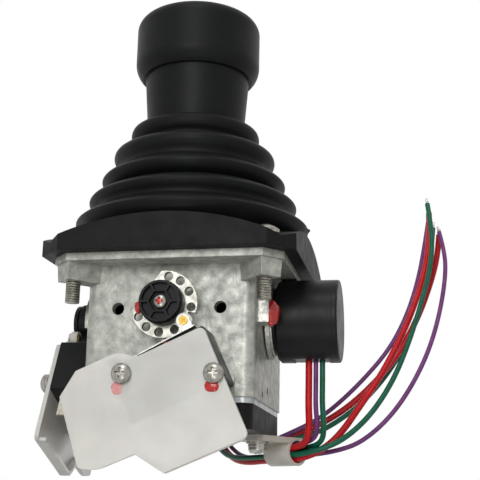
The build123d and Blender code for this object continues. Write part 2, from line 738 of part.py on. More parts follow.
def make_switch_body():
    """The moulded case with its two through holes, the plunger's bore and two ears for the arm's pin."""
    plane = switch_plane(switch_back)
    width = switch_u[1] - switch_u[0]
    height = switch_v[1] - switch_v[0]
    middle = ((switch_u[0] + switch_u[1]) / 2, (switch_v[0] + switch_v[1]) / 2)
    case = Pos(*middle) * RectangleRounded(width, height, 0.8)
    for at in ((0, 0), hole_2):
        case -= Pos(*at) * Circle(m3_r + screw_gap)
    body = extrude(plane * case, switch_t)
    ear_u, ear_v = arm_hinge
    ear = Pos(ear_u, (ear_v + 1.1 + switch_v[1]) / 2) * Rectangle(2.6, ear_v + 1.1 - switch_v[1])
    ear -= Pos(ear_u, ear_v) * Circle(arm_pin_r)
    arm_back = wall + arm_front - arm_w
    for near, far in ((arm_back - 1.3, arm_back - 0.15), (wall + arm_front + 0.15, switch_face)):
        body += extrude(switch_plane(near) * ear, far - near)
    u, low, high = plunger_u, -2.2, switch_v[1] + 1
    x, z = switch_point(u, low)
    x2, z2 = switch_point(u, high)
    y = -arm_middle()
    return body - rod(plunger_r + run_gap, (x, y, z), (x2, y, z2))


def arm_middle():
    """Distance of the arm's middle plane from the centre."""
    return wall + arm_front - arm_w / 2


def make_switch_blades():
    """Three flat solder blades with an eye, out of the case's underside."""
    blades = []
    for u in blade_u:
        x, z = switch_point(u, switch_v[1])
        eye_x, eye_z = switch_point(u, switch_v[0] - blade_len + 1.8)
        blade = Pos(u, switch_v[0] - blade_len / 2) * Rectangle(blade_t, blade_len)
        depth = switch_back + (switch_t - blade_w) / 2
        solid = extrude(switch_plane(depth) * blade, blade_w)
        lean = radians(switch_lean)
        way = Vector(cos(lean), 0, sin(lean))
        centre = Vector(eye_x, -(depth + blade_w / 2), eye_z)
        start = centre - way * 2
        end = centre + way * 2
        blades.append(solid - rod(0.9, tuple(start), tuple(end)))
    return blades


def make_plunger():
    top = arm_hinge[1] - arm_under - arm_t / 2 + (plunger_u - arm_hinge[0]) * tan(radians(arm_rise)) - 0.12
    x, z = switch_point(plunger_u, -1.0)
    x2, z2 = switch_point(plunger_u, top)
    y = -arm_middle()
    return rod(plunger_r, (x, y, z), (x2, y, z2))


def make_switch_arm():
    """A spring-steel strip from its knuckle to the raised ear that holds the roller."""
    hinge_u, hinge_v = arm_hinge
    near = wall + arm_front - arm_w
    reach = roller_at[0] - hinge_u + ear_half_w + 0.4
    turn = Pos(hinge_u, hinge_v) * Rot(0, 0, arm_rise)
    strip = turn * (Pos(reach / 2, -arm_under) * Rectangle(reach, arm_t))
    knuckle = Pos(hinge_u, hinge_v) * Circle(arm_knuckle_r)
    arm = extrude(switch_plane(near) * (strip + knuckle), arm_w)
    foot_v = hinge_v - arm_under + (roller_at[0] - hinge_u) * tan(radians(arm_rise))
    ear = Pos(*roller_at) * Circle(ear_half_w)
    ear += Pos(roller_at[0], (roller_at[1] + foot_v) / 2) * Rectangle(2 * ear_half_w, roller_at[1] - foot_v)
    arm += extrude(switch_plane(wall + arm_front - ear_t) * ear, ear_t)
    bore = Pos(hinge_u, hinge_v) * Circle(arm_pin_r + run_gap)
    pin_hole = Pos(*roller_at) * Circle(roller_pin_r)
    return arm - extrude(switch_plane(near - 1) * (bore + pin_hole), arm_w + 2)


def make_roller_pin():
    """A brass shoulder rivet in the ear: a low head in front, a thin one behind the roller."""
    front = wall + arm_front
    back = front - ear_t - 0.2 - roller_w - 0.1
    head = Pos(*roller_at) * Circle(roller_pin_r + 0.45)
    pin = extrude(switch_plane(back) * Pos(*roller_at) * Circle(roller_pin_r), front - back)
    pin += extrude(switch_plane(front) * head, rivet_head_t)
    return pin + extrude(switch_plane(back - rivet_head_t) * head, rivet_head_t)


def make_roller():
    ring = Pos(*roller_at) * (Circle(roller_r) - Circle(roller_pin_r + run_gap))
    return extrude(switch_plane(wall + arm_front - ear_t - 0.2 - roller_w) * ring, roller_w)


def make_arm_pin():
    near = wall + arm_front - arm_w - 1.3
    pin = Pos(*arm_hinge) * Circle(arm_pin_r)
    return extrude(switch_plane(near) * pin, switch_face - near)


def cover_outline():
    """The cover sheet in the switch's frame: broad over the case, stepped at the roller."""
    left, right = cover_u
    low, high = cover_v
    top = [(left + u, high - v) for u, v in cover_top]
    foot = [(left + u, low + v) for u, v in cover_foot]
    soft = 0.3 * cover_round
    step = high - cover_step
    edge = right - cover_slant
    return make_face([
        Line(top[0], top[1]),
        ThreePointArc(top[1], top[2], top[3]),
        Polyline(top[3], top[4], (right - cover_round, step)),
        ThreePointArc((right - cover_round, step), (right - soft, step - soft), (right, step - cover_round)),
        Line((right, step - cover_round), (edge, low + cover_round)),
        ThreePointArc((edge, low + cover_round), (edge - soft, low + soft), (edge - cover_round, low)),
        Polyline((edge - cover_round, low), foot[0], foot[1], foot[2]),
        ThreePointArc(foot[2], foot[3], foot[4]),
        Polyline(foot[4], (left + cover_left[0], high - cover_left[1]), top[0]),
    ])


def make_cover():
    """A flat sheet over the switch; its lower edges turn back towards the casting."""
    sheet = extrude(switch_plane(switch_face) * cover_outline(), cover_t)
    end = (cover_u[1] - cover_slant - cover_round, cover_v[0])
    corner, heel = [(cover_u[0] + u, cover_v[0] + v) for u, v in cover_foot[:2]]
    band = make_face(Polyline(
        end, corner, heel, (heel[0] + cover_band * 0.6, heel[1] + cover_band * 0.9),
        (corner[0] + cover_band * 0.5, corner[1] + cover_band), (end[0], end[1] + cover_band), close=True,
    ))
    sheet += extrude(switch_plane(switch_face - cover_lip) * band, cover_lip)
    for at in ((0, 0), hole_2):
        hole = Pos(*at) * Circle(m3_r + screw_gap)
        sheet -= extrude(switch_plane(switch_face - 1) * hole, cover_t + 2)
    return sheet


def make_cover_screws():
    seat = switch_face + cover_t + washer_t
    screw = pan_screw(m3_r, m3_head_r, m3_head_h, seat - inner + screw_bite)
    screws = []
    for u, v in ((0, 0), hole_2):
        x, z = switch_point(u, v)
        screws.append(place(screw, (x, -seat, z), (0, -1, 0)))
    return screws


def make_cover_washers():
    ring = washer(m3_head_r, m3_r + screw_gap, washer_t)
    rings = []
    for u, v in ((0, 0), hole_2):
        x, z = switch_point(u, v)
        rings.append(place(ring, (x, -switch_face - cover_t, z), (0, -1, 0)))
    return rings


def make_pot_body():
    """The moulded drum of a potentiometer on the front wall, with a flat where its leads come out."""
    start = wall + pot_from
    body = front_rod(pot_r, 0, axis_z, start, start + pot_len)
    body = chamfer(body.edges().group_by(Axis.Y)[-1], 0.8)
    body += front_rod(pot_neck_r, 0, axis_z, wall + bush_flange_t + 1.7, start)
    body -= front_rod(shaft_r + 0.3, 0, axis_z, wall, start + 9)
    flat = Pos(0, -(start + pot_len / 2 + 1.5), axis_z - pot_flat - 5) * Box(10, pot_len - 6, 10)
    return body - flat


def make_pot_cap():
    start = wall + pot_from + pot_len
    cap = front_rod(pot_r, 0, axis_z, start, start + pot_cap_t)
    return fillet(cap.edges().group_by(Axis.Y)[0], 0.6)


def make_pot_ring():
    """The steel flange by which the potentiometer is clamped to the wall."""
    start = wall + bush_flange_t
    ring = front_rod(pot_ring_r, 0, axis_z, start, start + pot_ring_t)
    ring += front_rod(pot_neck_r + 0.5, 0, axis_z, start + pot_ring_t, start + 1.7)
    return ring - front_rod(bush_flange_r + 0.3, 0, axis_z, wall, start + 3)


def make_pot_clamps():
    """Two steel blocks whose claws hold the flange ring against the wall."""
    clamps = []
    for side in (-1, 1):
        foot = Pos(side * clamp_at, -(wall + clamp_t / 2), axis_z) * Box(6.4, clamp_t, clamp_w)
        claw_in = wall + bush_flange_t + pot_ring_t + 0.05
        claw = Pos(side * 11.6, -(claw_in + wall + clamp_t) / 2, axis_z) * Box(
            2.4, wall + clamp_t - claw_in, clamp_w
        )
        clamp = foot - front_rod(pot_ring_r + 0.2, 0, axis_z, wall - 1, claw_in)
        clamp += claw
        clamp -= front_rod(m3_r + screw_gap, side * clamp_at, axis_z, wall - 1, wall + 9)
        clamps.append(clamp)
    return clamps


def make_pot_clamp_screws():
    screw = pan_screw(m3_r, clamp_head_r, clamp_head_h, clamp_t + body_wall + screw_bite)
    return [place(screw, (side * clamp_at, -(wall + clamp_t), axis_z), (0, -1, 0)) for side in (-1, 1)]


def make_clip():
    """A nylon strap: a round loop for the leads and two flat tabs under the screw."""
    outer = clip_loop_r + clip_wall
    loop_y = clip_reach
    centre = (loop_y, -outer)
    ring = Pos(*centre) * Circle(outer)
    tab = Pos(loop_y / 2 - 1.5, -clip_wall) * Rectangle(loop_y + 3 + 4, 2 * clip_wall)
    profile = ring + tab
    profile -= Pos(*centre) * Circle(clip_loop_r)
    side = Plane((-clip_w / 2, 0, base_z), x_dir=(0, 1, 0), z_dir=(1, 0, 0))
    strap = extrude(side * profile, clip_w)
    strap -= rod(m3_r + screw_gap, (0, 0, base_z + 1), (0, 0, base_z - 9))
    x, y = clip_screw_at
    return Pos(x, y, 0) * Rot(0, 0, clip_turn) * strap


def make_clip_washers():
    """A plain washer on the strap and a spring washer under the screw's head."""
    x, y = clip_screw_at
    plain = washer(m3_head_r + 0.6, m3_r + screw_gap, washer_t)
    spring = washer(spring_washer_r, m3_r + screw_gap, spring_washer_t)
    plain_z = base_z - 2 * clip_wall
    return [
        place(plain, (x, y, plain_z), (0, 0, -1)),
        place(spring, (x, y, plain_z - washer_t), (0, 0, -1)),
    ]


def make_clip_screw():
    x, y = clip_screw_at
    stack = 2 * clip_wall + washer_t + spring_washer_t
    screw = pan_screw(m3_r, m3_head_r, m3_head_h, stack + clip_bite)
    return place(screw, (x, y, base_z - stack), (0, 0, -1))


def make_lead(name, diameter, points):
    """A round lead along its route: straight runs joined by the largest arcs that the runs allow."""
    path = [Vector(*point) for point in points]
    radii = []
    for before, at, after in zip(path, path[1:], path[2:]):
        turn = radians((at - before).get_angle(after - at))
        shorter = min((at - before).length, (after - at).length)
        radii.append(0.45 * shorter / tan(turn / 2))
    wire = FilletPolyline(*path, radius=radii)
    lead = sweep(Plane(path[0], z_dir=wire % 0) * Circle(diameter / 2), path=wire)
    filled = lead.volume / (Circle(diameter / 2).area * wire.length)
    print(name, "length", round(wire.length, 1), "volume share", round(filled, 4),
          "radii", [round(radius, 1) for radius in radii])
    return lead


def save(name, *solids):
    """One file per node; a node of several solids is a compound."""
    shapes = []
    for solid in solids:
        shapes.extend(solid.solids())
    whole = shapes[0] if len(shapes) == 1 else Compound(children=shapes)
    whole.label = name
    export_step(whole, f"parts/{name}.step")


def save_switch_group(side, turn):
    save(f"{side}_switch_body", turn(make_switch_body()), turn(make_arm_pin()))
    save(f"{side}_switch_blades", *[turn(blade) for blade in make_switch_blades()])
    save(f"{side}_switch_plunger", turn(make_plunger()))
    save(f"{side}_switch_arm", turn(make_switch_arm()))
    save(f"{side}_roller_pin", turn(make_roller_pin()))
    save(f"{side}_roller", turn(make_roller()))
    save(f"{side}_cover", turn(make_cover()))
    save(f"{side}_cover_screws", *[turn(piece) for piece in make_cover_screws() + make_cover_washers()])
    save(f"{side}_cam", turn(make_cam()))
    save(f"{side}_hub", turn(make_hub()))
    save(f"{side}_hub_screw", turn(make_hub_screw()))


def save_pot_group(side, turn):
    save(f"{side}_pot_body", turn(make_pot_body()))
    save(f"{side}_pot_cap", turn(make_pot_cap()))
    save(f"{side}_pot_clamps", turn(make_pot_ring()), *[turn(clamp) for clamp in make_pot_clamps()])
    save(f"{side}_clamp_screws", *[turn(screw) for screw in make_pot_clamp_screws()])


def main():
    os.makedirs("parts", exist_ok=True)
    save("housing", make_housing())
    save("boot_frame", make_boot_frame())
    save("boot", make_boot())
    save("corner_screws", *make_corner_screws())
    save("gate_plate", make_gate_plate())
    save("bottom_cover", make_bottom_cover())
    save("bottom_screws", *make_bottom_screws())
    save("shaft_bushes", *make_shaft_bushes())
    save("gimbal_ring", make_gimbal_ring())
    end = hub_back + hub_rear_len - 0.3
    stub = make_stub_shaft(ring_half_x - ring_wall, end, True)
    save("left_shaft", to_left(stub))
    save("right_shaft", to_right(make_stub_shaft(ring_half_x - ring_wall, wall + 10, False)))
    save("side_yoke", make_side_yoke())
    save("front_shaft", make_stub_shaft(bail_inner, end, True))
    save("back_shaft", to_back(make_stub_shaft(bail_inner, wall + 10, False)))
    save("centring_spring_x", *[to_right(piece) for piece in make_spring()])
    save("centring_spring_y", *[to_back(piece) for piece in make_spring()])
    save("lever_shaft", make_lever_shaft())
    pin_half = ring_half_y - seat_gap
    save("cross_pin", rod(cross_pin_r, (0, -pin_half, axis_z), (0, pin_half, axis_z)))
    save("handle", make_handle())
    save("knob_cap", make_knob_cap())
    save("lever_nut", make_lever_nut())
    save_switch_group("front", lambda shape: shape)
    save_switch_group("left", to_left)
    save_pot_group("right", to_right)
    save_pot_group("back", to_back)
    save("cable_clip", make_clip())
    save("clip_screw", make_clip_screw(), *make_clip_washers())
    for name, (diameter, points) in lead_routes.items():
        save(name, make_lead(name, diameter, points))


main()
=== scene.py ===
"""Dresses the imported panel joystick: leads, bellows, finishes, threads and locking lacquer."""
import json

import bpy
import numpy as np
from mathutils import Matrix, Vector


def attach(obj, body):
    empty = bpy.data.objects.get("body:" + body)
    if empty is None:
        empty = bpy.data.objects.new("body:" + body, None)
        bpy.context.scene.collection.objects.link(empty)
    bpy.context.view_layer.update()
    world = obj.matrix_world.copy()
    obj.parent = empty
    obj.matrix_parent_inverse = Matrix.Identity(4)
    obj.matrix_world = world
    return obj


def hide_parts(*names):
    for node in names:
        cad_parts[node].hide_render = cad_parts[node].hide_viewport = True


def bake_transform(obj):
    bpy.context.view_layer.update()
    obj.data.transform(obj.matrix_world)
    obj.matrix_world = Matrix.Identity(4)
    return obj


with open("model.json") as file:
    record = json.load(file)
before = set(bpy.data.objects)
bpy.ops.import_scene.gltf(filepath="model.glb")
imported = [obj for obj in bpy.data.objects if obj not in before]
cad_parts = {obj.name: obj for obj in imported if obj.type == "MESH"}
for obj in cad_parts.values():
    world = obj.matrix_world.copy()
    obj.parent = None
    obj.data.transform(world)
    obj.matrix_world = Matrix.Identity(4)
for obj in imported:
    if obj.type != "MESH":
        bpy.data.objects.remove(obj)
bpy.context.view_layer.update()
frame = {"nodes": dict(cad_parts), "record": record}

MM = 0.001
nodes = frame["nodes"]


# Colours and nodes

def linear(hex_colour):
    """An sRGB hex colour as linear red, green, blue and alpha."""
    srgb = np.array([int(hex_colour[i:i + 2], 16) for i in (0, 2, 4)]) / 255
    rgb = np.where(srgb <= 0.04045, srgb / 12.92, ((srgb + 0.055) / 1.055) ** 2.4)
    return (*rgb.tolist(), 1.0)


def add(tree, kind, inputs=None, **settings):
    """Adds a node, applies its settings, and sets or links its inputs."""
    node = tree.nodes.new(kind)
    for name, value in settings.items():
        setattr(node, name, value)
    for name, value in (inputs or {}).items():
        if isinstance(value, bpy.types.NodeSocket):
            tree.links.new(value, node.inputs[name])
        else:
            node.inputs[name].default_value = value
    return node


def per_mm(size_mm):
    """A texture's scale on Object coordinates that gives features of about this size."""
    return 1 / (size_mm * MM)


def finish(name, light, dark, patch_mm, roughness, metallic=0.0, grain_mm=0.35, grain_depth_mm=0.01,
           edge_mm=0.15, relief=None, **shader):
    """A surface whose colour and gloss drift between two values in patches, with a fine grain and
    rounded edges. relief adds its own height, in millimetres, from the tree and the coordinates.
    The ranges from about 0.3 to 0.7 are where the values of noise lie. The real grain is mostly too
    fine to show, so grain_mm draws it as coarse as it needs to."""
    material = bpy.data.materials.new(name)
    material.use_nodes = True
    tree = material.node_tree
    tree.nodes.clear()
    place = add(tree, "ShaderNodeTexCoord").outputs["Object"]
    patches = add(tree, "ShaderNodeTexNoise", {
        "Vector": place, "Scale": per_mm(patch_mm), "Detail": 5.0, "Roughness": 0.6})
    share = add(tree, "ShaderNodeMapRange", {
        "Value": patches.outputs["Fac"], "From Min": 0.32, "From Max": 0.68})
    # A Mix node's colour sockets are its inputs 6 and 7.
    colour = add(tree, "ShaderNodeMix", {
        0: share.outputs["Result"], 6: linear(dark), 7: linear(light)}, data_type="RGBA")
    gloss = add(tree, "ShaderNodeMapRange", {
        "Value": patches.outputs["Fac"], "From Min": 0.3, "From Max": 0.7,
        "To Min": roughness[1], "To Max": roughness[0]})
    grain = add(tree, "ShaderNodeTexNoise", {
        "Vector": place, "Scale": per_mm(grain_mm), "Detail": 2.0})
    height = grain.outputs["Fac"]
    depth = grain_depth_mm
    if relief:
        scaled = add(tree, "ShaderNodeMath", {0: height, 1: grain_depth_mm}, operation="MULTIPLY")
        height = add(tree, "ShaderNodeMath", {
            0: scaled.outputs[0], 1: relief(tree, place)}, operation="ADD").outputs[0]
        depth = 1.0
    rounded = add(tree, "ShaderNodeBevel", {"Radius": edge_mm * MM}, samples=6)
    bump = add(tree, "ShaderNodeBump", {
        "Height": height, "Distance": depth * MM, "Strength": 1.0,
        "Normal": rounded.outputs["Normal"]})
    surface = add(tree, "ShaderNodeBsdfPrincipled", {
        "Base Color": colour.outputs[2], "Roughness": gloss.outputs["Result"],
        "Metallic": metallic, "Normal": bump.outputs["Normal"], **shader})
    add(tree, "ShaderNodeOutputMaterial", {"Surface": surface.outputs["BSDF"]})
    return material


def thread_relief(tree, place, pitch_mm=0.7, top_mm=-2.3, ridge_mm=0.16):
    """The ridges of an M4 thread on what reaches below the casting's flange: the ridge's height
    times the sine of a full turn per pitch, and nothing above the top."""
    along = add(tree, "ShaderNodeSeparateXYZ", {"Vector": place}).outputs["Z"]
    turn = add(tree, "ShaderNodeMath", {
        0: along, 1: 2 * np.pi / (pitch_mm * MM)}, operation="MULTIPLY")
    wave = add(tree, "ShaderNodeMath", {0: turn.outputs[0]}, operation="SINE")
    low = add(tree, "ShaderNodeMath", {0: along, 1: top_mm * MM}, operation="LESS_THAN")
    ridge = add(tree, "ShaderNodeMath", {
        0: wave.outputs[0], 1: low.outputs[0]}, operation="MULTIPLY")
    height = add(tree, "ShaderNodeMath", {0: ridge.outputs[0], 1: ridge_mm}, operation="MULTIPLY")
    return height.outputs[0]


def casting_relief(tree, place, mark_mm=4.0, depth_mm=0.12):
    """Shallow flow marks of the melt, some millimetres apart: warped noise times the depth."""
    flow = add(tree, "ShaderNodeTexNoise", {
        "Vector": place, "Scale": per_mm(mark_mm), "Detail": 3.0, "Distortion": 1.5})
    height = add(tree, "ShaderNodeMath", {
        0: flow.outputs["Fac"], 1: depth_mm}, operation="MULTIPLY")
    return height.outputs[0]


# Finishes

# Die-cast aluminium, tumbled: pale skin with grey flow marks and a soft, broken shine.
# Its metallic is far below a metal's usual 1, because at a higher value the casting mirrored the
# white studio and clipped to white.
die_cast_aluminium = finish(
    "die_cast_aluminium", "bcbdb3", "8b8e87", 2.6, (0.32, 0.5), metallic=0.2, grain_mm=0.45,
    grain_depth_mm=0.035, edge_mm=0.3, relief=casting_relief)
# EPDM rubber, moulded: near black, dull, with a faint bloom in patches.
moulded_rubber = finish("moulded_rubber", "131415", "0b0b0d", 9.0, (0.42, 0.55), grain_mm=0.4,
                        grain_depth_mm=0.006, edge_mm=0.2, **{"Specular IOR Level": 0.1})
# Glass-filled nylon, spark-eroded mould: near black with a fine even grain.
textured_nylon = finish("textured_nylon", "181818", "0f0f10", 6.0, (0.46, 0.6), grain_mm=0.3,
                        grain_depth_mm=0.012, edge_mm=0.25, **{"Specular IOR Level": 0.1})
# ABS grip, satin: near black, smooth enough to hold a soft highlight.
satin_abs = finish("satin_abs", "151617", "0e0f10", 12.0, (0.4, 0.5), grain_mm=0.45,
                   grain_depth_mm=0.005, edge_mm=0.6, **{"Specular IOR Level": 0.1})
# Phenolic moulding of the potentiometers and hubs: black, a little shinier.
phenolic = finish("phenolic", "141416", "0a0a0b", 5.0, (0.34, 0.46), grain_mm=0.3,
                  grain_depth_mm=0.004, edge_mm=0.25, **{"Specular IOR Level": 0.15})
# Zinc-plated steel screws: bright grey with blunt edges; the panel screws also show their threads.
plated_steel = finish("zinc_plated_steel", "aaa8a0", "78766f", 1.4, (0.26, 0.4), metallic=1.0,
                      grain_mm=0.25, grain_depth_mm=0.004, edge_mm=0.2)
threaded_steel = finish("zinc_plated_thread", "a6a397", "726f66", 1.4, (0.28, 0.42), metallic=1.0,
                        grain_mm=0.25, grain_depth_mm=0.004, edge_mm=0.2, relief=thread_relief)
# Nickel-plated stamped plate of the cams: warm bright grey.
nickel_plate = finish("nickel_plate", "bab9b0", "83827a", 2.0, (0.3, 0.45), metallic=1.0,
                      grain_mm=0.3, grain_depth_mm=0.008, edge_mm=0.12)
# Zinc-plated sheet steel of the gate, ring and yoke.
plated_sheet = finish("zinc_plated_sheet", "b9bbbc", "84888a", 4.0, (0.32, 0.46), metallic=1.0,
                      grain_mm=0.4, grain_depth_mm=0.01, edge_mm=0.12)
# Ground steel shafts: bright with fine marks.
ground_steel = finish("ground_steel", "c4c6c8", "94979a", 1.2, (0.2, 0.32), metallic=1.0,
                      grain_mm=0.15, grain_depth_mm=0.006, edge_mm=0.1)
# Hardened spring strip, rolled bright.
spring_steel = finish("spring_steel", "b4b4b1", "858583", 1.5, (0.3, 0.42), metallic=1.0,
                      grain_mm=0.2, grain_depth_mm=0.004, edge_mm=0.06)
# Sintered steel clamps, blasted dull.
sintered_steel = finish("sintered_steel", "c3c2bb", "94938c", 0.8, (0.36, 0.5), metallic=0.8,
                        grain_mm=0.25, grain_depth_mm=0.02, edge_mm=0.15)
# Milky polypropylene sheet: pale grey, lets a little light through, satin.
milky_polypropylene = finish(
    "milky_polypropylene", "ebe9e3", "dfddd6", 10.0, (0.34, 0.46), grain_mm=0.8,
    grain_depth_mm=0.01, edge_mm=0.2, **{
        "Subsurface Weight": 0.2, "Subsurface Scale": 0.002, "Transmission Weight": 0.3})
# Natural nylon of the cable clip and bushes: ivory, slightly waxy.
natural_nylon = finish(
    "natural_nylon", "e6e1d8", "d8d2c6", 5.0, (0.3, 0.42), grain_mm=0.4, grain_depth_mm=0.008,
    edge_mm=0.15, **{
        "Subsurface Weight": 0.3, "Subsurface Scale": 0.001, "Transmission Weight": 0.2})
# PBT case of the switches: black, satin.
pbt_case = finish("pbt_case", "121314", "0b0c0d", 5.0, (0.32, 0.44), grain_mm=0.3,
                  grain_depth_mm=0.005, edge_mm=0.2, **{"Specular IOR Level": 0.15})
# Tinned brass terminals.
tinned_brass = finish("tinned_brass", "c9c6ba", "97937f", 1.0, (0.25, 0.4), metallic=1.0,
                      grain_mm=0.2, grain_depth_mm=0.01, edge_mm=0.08)
# Bare brass rivets of the rollers.
bare_brass = finish("bare_brass", "b3984e", "8c7436", 0.8, (0.32, 0.45), metallic=1.0,
                    grain_mm=0.2, grain_depth_mm=0.005, edge_mm=0.08)
# Acetal rollers and plungers.
white_acetal = finish("white_acetal", "e2dfd4", "cfcbbe", 2.0, (0.25, 0.35), grain_mm=0.3,
                      grain_depth_mm=0.004, edge_mm=0.12)
red_acetal = finish("red_acetal", "a5302a", "8b2620", 2.0, (0.3, 0.4), grain_mm=0.3,
                    grain_depth_mm=0.004, edge_mm=0.1)
# PVC insulation of the three lead colours: even, with a soft sheen and faint kinks of gloss.
insulation = {
    colour: finish(f"{colour}_pvc", light, dark, 3.0, (0.34, 0.46), grain_mm=0.5,
                   grain_depth_mm=0.01, **{"Specular IOR Level": 0.25})
    for colour, light, dark in (("red", "cc161e", "ae1018"), ("purple", "7a3f7e", "69336d"),
                                ("green", "006046", "005038"))
}
# Tinned copper strands at the leads' bare ends.
tinned_copper = finish("tinned_copper", "cfcfcb", "a3a19a", 0.5, (0.25, 0.38), metallic=1.0,
                       grain_mm=0.15, grain_depth_mm=0.01, edge_mm=0.02)
# Thread-locking lacquer, brushed on: clear red with a wet shine.
locking_lacquer = finish("locking_lacquer", "cf231d", "a91612", 1.2, (0.1, 0.2), grain_mm=0.5,
                         grain_depth_mm=0.03, edge_mm=0.1)
# The same lacquer wiped to a thin pink film on the milky sheet.
wiped_lacquer = finish("wiped_lacquer", "dfa29f", "d4807d", 1.4, (0.3, 0.45), grain_mm=0.5,
                       grain_depth_mm=0.01, edge_mm=0.05)

finish_of_slot = {
    "casting": die_cast_aluminium, "boot_rubber": moulded_rubber, "black_moulding": textured_nylon,
    "dark_moulding": phenolic, "plated_screws": plated_steel, "bush_plastic": natural_nylon,
    "steel_plate": plated_sheet, "ground_steel": ground_steel, "spring_steel": spring_steel,
    "cam_plate": nickel_plate, "cast_steel": sintered_steel, "milky_sheet": milky_polypropylene,
    "switch_case": pbt_case, "terminal_metal": tinned_brass, "plunger_plastic": red_acetal,
    "brass_rivet": bare_brass, "roller_plastic": white_acetal, "clip_nylon": natural_nylon,
    "red_lead": insulation["red"], "purple_lead": insulation["purple"],
    "green_lead": insulation["green"],
}
finish_of_node = {"handle": satin_abs, "knob_cap": satin_abs, "corner_screws": threaded_steel}
for part in frame["record"]["subparts"]:
    piece = nodes[part["node"]]
    piece.data.materials.clear()
    of_slot = finish_of_slot[part["material_slot"]]
    piece.data.materials.append(finish_of_node.get(part["node"], of_slot))


# Meshes

def grid_mesh(name, points, wrap_u, wrap_v, material, cap_low=False, cap_high=False):
    """A surface through a grid of points in metres, of shape rows by columns by 3. wrap_u joins the
    last row to the first, wrap_v the last column to the first. The caps close the first and last
    rows."""
    rows, columns = points.shape[:2]
    index = np.arange(rows * columns).reshape(rows, columns)
    if wrap_u:
        index = np.vstack([index, index[:1]])
    if wrap_v:
        index = np.hstack([index, index[:, :1]])
    quads = np.stack([index[:-1, :-1], index[:-1, 1:], index[1:, 1:], index[1:, :-1]], axis=-1)
    faces = quads.reshape(-1, 4).tolist()
    if cap_low:
        faces.append(index[0, :columns][::-1].tolist())
    if cap_high:
        faces.append(index[-1, :columns].tolist())
    mesh = bpy.data.meshes.new(name)
    mesh.from_pydata(points.reshape(-1, 3).tolist(), [], faces)
    mesh.polygons.foreach_set("use_smooth", np.ones(len(mesh.polygons), bool))
    mesh.materials.append(material)
    mesh.validate()
    piece = bpy.data.objects.new(name, mesh)
    bpy.context.collection.objects.link(piece)
    return piece


def rounded(points, radius, steps=7):
    """A line through the points in the plane, with each inner corner replaced by a quadratic curve
    from a start to an end. They lie the radius from it, or just under half its side where that is
    less. For t from 0 to 1 the curve is the start times (1 - t) squared, plus the corner times
    2 t (1 - t), plus the end times t squared."""
    points = np.asarray(points, float)
    before = points[:-2] - points[1:-1]
    after = points[2:] - points[1:-1]
    cut_before = np.minimum(radius, 0.48 * np.linalg.norm(before, axis=1))[:, None]
    cut_after = np.minimum(radius, 0.48 * np.linalg.norm(after, axis=1))[:, None]
    start = points[1:-1] + before / np.linalg.norm(before, axis=1)[:, None] * cut_before
    end = points[1:-1] + after / np.linalg.norm(after, axis=1)[:, None] * cut_after
    t = np.linspace(0, 1, steps)[None, :, None]
    corner = points[1:-1][:, None]
    arcs = (1 - t) ** 2 * start[:, None] + 2 * t * (1 - t) * corner + t ** 2 * end[:, None]
    return np.vstack([points[:1], arcs.reshape(-1, 2), points[-1:]])


def revolved(name, profile, material, columns=160):
    """A closed profile of radius and height in millimetres, turned once about the lever's axis:
    x is the radius times the cosine of the angle, y the radius times its sine, z the height."""
    angle = np.linspace(0, 2 * np.pi, columns, endpoint=False)
    radius, height = profile[:, 0:1], profile[:, 1:2]
    level = height + np.zeros_like(angle)
    points = np.stack([radius * np.cos(angle), radius * np.sin(angle), level], axis=-1) * MM
    return grid_mesh(name, points, True, True, material)


# Camera and light

# Where the photograph was taken from: the point looked at, the camera's angles round it and its
# distance, and the focal length as pixels of a picture 480 pixels wide.
target = Vector((14.8, 0, 10.97)) * MM
azimuth, elevation, roll = np.radians((11.26, -14.98, 1.19))
distance_mm = 304.1
focal_px, picture_px, sensor_mm = 1009.0, 480, 36.0
back = Vector((
    np.sin(azimuth) * np.cos(elevation), -np.cos(azimuth) * np.cos(elevation), np.sin(elevation)))
lens = bpy.data.cameras.new("camera")
lens.sensor_width = sensor_mm
lens.lens = focal_px / picture_px * sensor_mm
lens.clip_start = 0.01
camera = bpy.data.objects.new("camera", lens)
camera.matrix_world = (
    Matrix.Translation(target + back * distance_mm * MM)
    @ back.to_track_quat("Z", "Y").to_matrix().to_4x4()
    @ Matrix.Rotation(roll, 4, "Z")
)
bpy.context.collection.objects.link(camera)
bpy.context.scene.camera = camera
bpy.context.scene.view_settings.view_transform = "Standard"


def lamp(name, place_mm, aim_mm, size_mm, watts):
    """A square area lamp at a place, turned towards the point that it lights."""
    data = bpy.data.lights.new(name, "AREA")
    data.size = size_mm * MM
    data.energy = watts
    light = bpy.data.objects.new(name, data)
    way = Vector(place_mm) - Vector(aim_mm)
    light.matrix_world = (
        Matrix.Translation(Vector(place_mm) * MM) @ way.to_track_quat("Z", "Y").to_matrix().to_4x4()
    )
    bpy.context.collection.objects.link(light)


lamp("key", (20, -560, 120), (0, 0, -10), 260, 1.6)
lamp("upper", (30, -330, 460), (0, 0, 30), 200, 0.8)
lamp("low", (60, -420, -330), (30, 0, -14), 60, 0.35)

